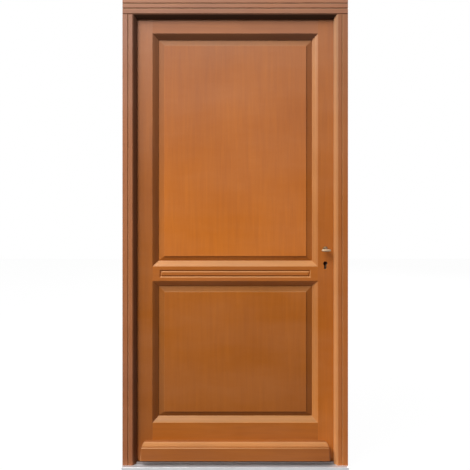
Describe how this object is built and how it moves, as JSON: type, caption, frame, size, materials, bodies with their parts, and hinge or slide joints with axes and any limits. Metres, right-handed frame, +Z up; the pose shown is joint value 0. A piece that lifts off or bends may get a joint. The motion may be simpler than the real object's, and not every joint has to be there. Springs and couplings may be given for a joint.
{
  "type": "front door with frame",
  "caption": "Solid wood front door in its frame: panelled leaf with raised panels and weatherboard, aluminium threshold, hinges, turn knob and mortise lock.",
  "frame": {"origin": "middle of the threshold's underside, at mid depth of the frame", "axes": "+X to the right seen from outside, +Y into the house, +Z up"},
  "size_m": [1.075, 0.1385, 2.25],
  "materials": {
    "wood": "satin stained",
    "aluminium": "satin anodised",
    "insulating_bar": "matte",
    "seal_rubber": "matte",
    "hinge_steel": "satin",
    "fastener_steel": "satin",
    "lock_steel": "satin",
    "washer_brass": "satin",
    "knob_metal": "polished"
  },
  "bodies": {
    "frame": {"hinge_jamb": "wood", "lock_jamb": "wood", "frame_head": "wood", "sill": "aluminium", "sill_break": "insulating_bar", "sill_inner": "aluminium", "sill_screws": "fastener_steel", "hinge_jamb_seal": "seal_rubber", "lock_jamb_seal": "seal_rubber", "head_seal": "seal_rubber", "sill_seal": "seal_rubber", "top_hinge_frame_half": "hinge_steel", "middle_hinge_frame_half": "hinge_steel", "bottom_hinge_frame_half": "hinge_steel", "hinge_pins": "hinge_steel", "hinge_washers": "washer_brass", "frame_hinge_screws": "fastener_steel", "strike_plate": "lock_steel", "strike_screws": "fastener_steel"},
    "leaf": {"hinge_stile": "wood", "lock_stile": "wood", "top_rail": "wood", "middle_rail": "wood", "bottom_rail": "wood", "upper_panel": "wood", "lower_panel": "wood", "weatherboard": "wood", "top_hinge_leaf_half": "hinge_steel", "middle_hinge_leaf_half": "hinge_steel", "bottom_hinge_leaf_half": "hinge_steel", "leaf_hinge_screws": "fastener_steel", "lock_case": "lock_steel", "lock_cover": "lock_steel", "lock_faceplate": "lock_steel", "faceplate_screws": "fastener_steel", "flap_pin": "knob_metal"},
    "knob": {"spindle": "lock_steel", "follower": "washer_brass", "outer_knob": "knob_metal", "inner_knob": "knob_metal", "knob_pins": "fastener_steel"},
    "latch": {"latch_bolt": "lock_steel"},
    "bolt": {"deadbolt": "lock_steel"},
    "flap": {"keyhole_flap": "knob_metal"}
  },
  "joints": [
    {"name": "door_swing", "type": "hinge", "parent": "frame", "child": "leaf", "pos_m": [-0.487, 0.0515, 0], "axis": [0, 0, 1], "range_deg": [0, 100]},
    {"name": "knob_turn", "type": "hinge", "parent": "leaf", "child": "knob", "pos_m": [0.435, 0.0145, 1.049], "axis": [0, 1, 0], "range_deg": [0, 40]},
    {"name": "latch_slide", "type": "slide", "parent": "leaf", "child": "latch", "axis": [1, 0, 0], "range_m": [0, 0.013]},
    {"name": "bolt_slide", "type": "slide", "parent": "leaf", "child": "bolt", "axis": [1, 0, 0], "range_m": [0, 0.02]},
    {"name": "flap_swing", "type": "hinge", "parent": "leaf", "child": "flap", "pos_m": [0.435, 0.043, 0.997], "axis": [0, 1, 0], "range_deg": [0, 100]}
  ],
  "couplings": [
    {"joint": "latch_slide", "follows": "knob_turn", "m_per_rad": 0.018616}
  ]
}
